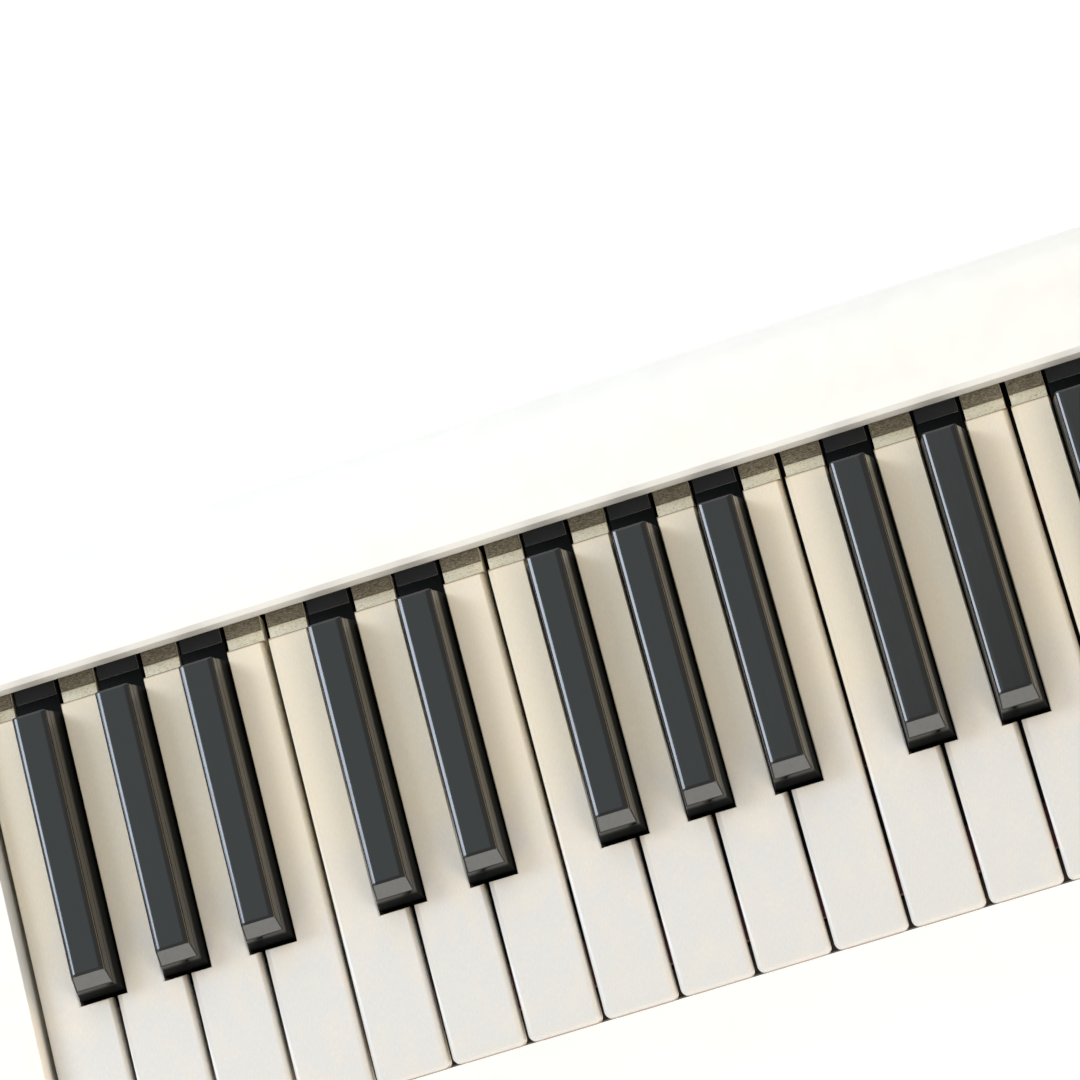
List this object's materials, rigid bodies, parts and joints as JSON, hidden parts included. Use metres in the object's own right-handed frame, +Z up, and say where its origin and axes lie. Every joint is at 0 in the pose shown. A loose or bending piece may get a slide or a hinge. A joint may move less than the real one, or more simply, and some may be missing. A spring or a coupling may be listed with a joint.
{
  "type": "melodica",
  "caption": "Blown keyboard instrument: flat case with sprung white and black keys, a pull-off mouthpiece at the bass end, a drain button and a hand strap underneath.",
  "frame": {"origin": "on the flat underside, under the middle of the keyboard", "axes": "+X along the keyboard from bass to treble, +Y away from the key fronts towards the rear cover, +Z up"},
  "size_m": [0.458, 0.164, 0.054],
  "materials": {
    "ivory_plastic": "satin",
    "black_plastic": "gloss",
    "case_plastic": "satin",
    "dark_plastic": "matte",
    "steel": "satin",
    "brass": "satin",
    "aluminium": "satin",
    "felt": "matte",
    "rubber": "matte",
    "webbing": "matte"
  },
  "bodies": {
    "case": {"lower_case": "case_plastic", "upper_case": "case_plastic", "case_screw_1": "steel", "case_screw_2": "steel", "case_screw_3": "steel", "case_screw_4": "steel", "case_screw_5": "steel", "case_screw_6": "steel", "key_bed": "dark_plastic", "front_felt": "felt", "middle_felt": "felt", "key_pivot_rod": "steel", "pivot_rail": "dark_plastic", "key_spring_comb": "brass", "wind_chest": "dark_plastic", "cell_block": "ivory_plastic", "reed_plate_low": "brass", "reed_plate_high": "brass", "chest_gasket": "rubber", "valve_plate": "aluminium", "mouthpiece_socket": "dark_plastic", "drain_spring": "steel", "hand_strap": "webbing", "strap_anchor_left": "dark_plastic", "strap_anchor_right": "dark_plastic"},
    "mouthpiece": {"mouthpiece": "ivory_plastic"},
    "drain_button": {"drain_button": "dark_plastic", "drain_seal": "rubber"},
    "key_F3": {"key_F3": "ivory_plastic"},
    "key_Fs3": {"key_Fs3": "black_plastic"},
    "key_G3": {"key_G3": "ivory_plastic"},
    "key_Gs3": {"key_Gs3": "black_plastic"},
    "key_A3": {"key_A3": "ivory_plastic"},
    "key_As3": {"key_As3": "black_plastic"},
    "key_B3": {"key_B3": "ivory_plastic"},
    "key_C4": {"key_C4": "ivory_plastic"},
    "key_Cs4": {"key_Cs4": "black_plastic"},
    "key_D4": {"key_D4": "ivory_plastic"},
    "key_Ds4": {"key_Ds4": "black_plastic"},
    "key_E4": {"key_E4": "ivory_plastic"},
    "key_F4": {"key_F4": "ivory_plastic"},
    "key_Fs4": {"key_Fs4": "black_plastic"},
    "key_G4": {"key_G4": "ivory_plastic"},
    "key_Gs4": {"key_Gs4": "black_plastic"},
    "key_A4": {"key_A4": "ivory_plastic"},
    "key_As4": {"key_As4": "black_plastic"},
    "key_B4": {"key_B4": "ivory_plastic"},
    "key_C5": {"key_C5": "ivory_plastic"},
    "key_Cs5": {"key_Cs5": "black_plastic"},
    "key_D5": {"key_D5": "ivory_plastic"},
    "key_Ds5": {"key_Ds5": "black_plastic"},
    "key_E5": {"key_E5": "ivory_plastic"},
    "key_F5": {"key_F5": "ivory_plastic"},
    "key_Fs5": {"key_Fs5": "black_plastic"},
    "key_G5": {"key_G5": "ivory_plastic"},
    "key_Gs5": {"key_Gs5": "black_plastic"},
    "key_A5": {"key_A5": "ivory_plastic"},
    "key_As5": {"key_As5": "black_plastic"},
    "key_B5": {"key_B5": "ivory_plastic"},
    "key_C6": {"key_C6": "ivory_plastic"}
  },
  "joints": [
    {"name": "mouthpiece_pull", "type": "slide", "parent": "case", "child": "mouthpiece", "axis": [-1, 0, 0], "range_m": [0, 0.03]},
    {"name": "drain_button_press", "type": "slide", "parent": "case", "child": "drain_button", "axis": [-1, 0, 0], "range_m": [0, 0.0025], "stiffness_N_per_m": 900, "springref_m": -0.003, "deforming": ["drain_spring"]},
    {"name": "press_F3", "type": "hinge", "parent": "case", "child": "key_F3", "pos_m": [0, 0.03, 0.0335], "axis": [1, 0, 0], "range_deg": [0, 3], "stiffness_Nm_per_rad": 0.5, "springref_deg": -8.59},
    {"name": "press_Fs3", "type": "hinge", "parent": "case", "child": "key_Fs3", "pos_m": [0, 0.03, 0.0335], "axis": [1, 0, 0], "range_deg": [0, 3], "stiffness_Nm_per_rad": 0.5, "springref_deg": -8.59},
    {"name": "press_G3", "type": "hinge", "parent": "case", "child": "key_G3", "pos_m": [0, 0.03, 0.0335], "axis": [1, 0, 0], "range_deg": [0, 3], "stiffness_Nm_per_rad": 0.5, "springref_deg": -8.59},
    {"name": "press_Gs3", "type": "hinge", "parent": "case", "child": "key_Gs3", "pos_m": [0, 0.03, 0.0335], "axis": [1, 0, 0], "range_deg": [0, 3], "stiffness_Nm_per_rad": 0.5, "springref_deg": -8.59},
    {"name": "press_A3", "type": "hinge", "parent": "case", "child": "key_A3", "pos_m": [0, 0.03, 0.0335], "axis": [1, 0, 0], "range_deg": [0, 3], "stiffness_Nm_per_rad": 0.5, "springref_deg": -8.59},
    {"name": "press_As3", "type": "hinge", "parent": "case", "child": "key_As3", "pos_m": [0, 0.03, 0.0335], "axis": [1, 0, 0], "range_deg": [0, 3], "stiffness_Nm_per_rad": 0.5, "springref_deg": -8.59},
    {"name": "press_B3", "type": "hinge", "parent": "case", "child": "key_B3", "pos_m": [0, 0.03, 0.0335], "axis": [1, 0, 0], "range_deg": [0, 3], "stiffness_Nm_per_rad": 0.5, "springref_deg": -8.59},
    {"name": "press_C4", "type": "hinge", "parent": "case", "child": "key_C4", "pos_m": [0, 0.03, 0.0335], "axis": [1, 0, 0], "range_deg": [0, 3], "stiffness_Nm_per_rad": 0.5, "springref_deg": -8.59},
    {"name": "press_Cs4", "type": "hinge", "parent": "case", "child": "key_Cs4", "pos_m": [0, 0.03, 0.0335], "axis": [1, 0, 0], "range_deg": [0, 3], "stiffness_Nm_per_rad": 0.5, "springref_deg": -8.59},
    {"name": "press_D4", "type": "hinge", "parent": "case", "child": "key_D4", "pos_m": [0, 0.03, 0.0335], "axis": [1, 0, 0], "range_deg": [0, 3], "stiffness_Nm_per_rad": 0.5, "springref_deg": -8.59},
    {"name": "press_Ds4", "type": "hinge", "parent": "case", "child": "key_Ds4", "pos_m": [0, 0.03, 0.0335], "axis": [1, 0, 0], "range_deg": [0, 3], "stiffness_Nm_per_rad": 0.5, "springref_deg": -8.59},
    {"name": "press_E4", "type": "hinge", "parent": "case", "child": "key_E4", "pos_m": [0, 0.03, 0.0335], "axis": [1, 0, 0], "range_deg": [0, 3], "stiffness_Nm_per_rad": 0.5, "springref_deg": -8.59},
    {"name": "press_F4", "type": "hinge", "parent": "case", "child": "key_F4", "pos_m": [0, 0.03, 0.0335], "axis": [1, 0, 0], "range_deg": [0, 3], "stiffness_Nm_per_rad": 0.5, "springref_deg": -8.59},
    {"name": "press_Fs4", "type": "hinge", "parent": "case", "child": "key_Fs4", "pos_m": [0, 0.03, 0.0335], "axis": [1, 0, 0], "range_deg": [0, 3], "stiffness_Nm_per_rad": 0.5, "springref_deg": -8.59},
    {"name": "press_G4", "type": "hinge", "parent": "case", "child": "key_G4", "pos_m": [0, 0.03, 0.0335], "axis": [1, 0, 0], "range_deg": [0, 3], "stiffness_Nm_per_rad": 0.5, "springref_deg": -8.59},
    {"name": "press_Gs4", "type": "hinge", "parent": "case", "child": "key_Gs4", "pos_m": [0, 0.03, 0.0335], "axis": [1, 0, 0], "range_deg": [0, 3], "stiffness_Nm_per_rad": 0.5, "springref_deg": -8.59},
    {"name": "press_A4", "type": "hinge", "parent": "case", "child": "key_A4", "pos_m": [0, 0.03, 0.0335], "axis": [1, 0, 0], "range_deg": [0, 3], "stiffness_Nm_per_rad": 0.5, "springref_deg": -8.59},
    {"name": "press_As4", "type": "hinge", "parent": "case", "child": "key_As4", "pos_m": [0, 0.03, 0.0335], "axis": [1, 0, 0], "range_deg": [0, 3], "stiffness_Nm_per_rad": 0.5, "springref_deg": -8.59},
    {"name": "press_B4", "type": "hinge", "parent": "case", "child": "key_B4", "pos_m": [0, 0.03, 0.0335], "axis": [1, 0, 0], "range_deg": [0, 3], "stiffness_Nm_per_rad": 0.5, "springref_deg": -8.59},
    {"name": "press_C5", "type": "hinge", "parent": "case", "child": "key_C5", "pos_m": [0, 0.03, 0.0335], "axis": [1, 0, 0], "range_deg": [0, 3], "stiffness_Nm_per_rad": 0.5, "springref_deg": -8.59},
    {"name": "press_Cs5", "type": "hinge", "parent": "case", "child": "key_Cs5", "pos_m": [0, 0.03, 0.0335], "axis": [1, 0, 0], "range_deg": [0, 3], "stiffness_Nm_per_rad": 0.5, "springref_deg": -8.59},
    {"name": "press_D5", "type": "hinge", "parent": "case", "child": "key_D5", "pos_m": [0, 0.03, 0.0335], "axis": [1, 0, 0], "range_deg": [0, 3], "stiffness_Nm_per_rad": 0.5, "springref_deg": -8.59},
    {"name": "press_Ds5", "type": "hinge", "parent": "case", "child": "key_Ds5", "pos_m": [0, 0.03, 0.0335], "axis": [1, 0, 0], "range_deg": [0, 3], "stiffness_Nm_per_rad": 0.5, "springref_deg": -8.59},
    {"name": "press_E5", "type": "hinge", "parent": "case", "child": "key_E5", "pos_m": [0, 0.03, 0.0335], "axis": [1, 0, 0], "range_deg": [0, 3], "stiffness_Nm_per_rad": 0.5, "springref_deg": -8.59},
    {"name": "press_F5", "type": "hinge", "parent": "case", "child": "key_F5", "pos_m": [0, 0.03, 0.0335], "axis": [1, 0, 0], "range_deg": [0, 3], "stiffness_Nm_per_rad": 0.5, "springref_deg": -8.59},
    {"name": "press_Fs5", "type": "hinge", "parent": "case", "child": "key_Fs5", "pos_m": [0, 0.03, 0.0335], "axis": [1, 0, 0], "range_deg": [0, 3], "stiffness_Nm_per_rad": 0.5, "springref_deg": -8.59},
    {"name": "press_G5", "type": "hinge", "parent": "case", "child": "key_G5", "pos_m": [0, 0.03, 0.0335], "axis": [1, 0, 0], "range_deg": [0, 3], "stiffness_Nm_per_rad": 0.5, "springref_deg": -8.59},
    {"name": "press_Gs5", "type": "hinge", "parent": "case", "child": "key_Gs5", "pos_m": [0, 0.03, 0.0335], "axis": [1, 0, 0], "range_deg": [0, 3], "stiffness_Nm_per_rad": 0.5, "springref_deg": -8.59},
    {"name": "press_A5", "type": "hinge", "parent": "case", "child": "key_A5", "pos_m": [0, 0.03, 0.0335], "axis": [1, 0, 0], "range_deg": [0, 3], "stiffness_Nm_per_rad": 0.5, "springref_deg": -8.59},
    {"name": "press_As5", "type": "hinge", "parent": "case", "child": "key_As5", "pos_m": [0, 0.03, 0.0335], "axis": [1, 0, 0], "range_deg": [0, 3], "stiffness_Nm_per_rad": 0.5, "springref_deg": -8.59},
    {"name": "press_B5", "type": "hinge", "parent": "case", "child": "key_B5", "pos_m": [0, 0.03, 0.0335], "axis": [1, 0, 0], "range_deg": [0, 3], "stiffness_Nm_per_rad": 0.5, "springref_deg": -8.59},
    {"name": "press_C6", "type": "hinge", "parent": "case", "child": "key_C6", "pos_m": [0, 0.03, 0.0335], "axis": [1, 0, 0], "range_deg": [0, 3], "stiffness_Nm_per_rad": 0.5, "springref_deg": -8.59}
  ]
}
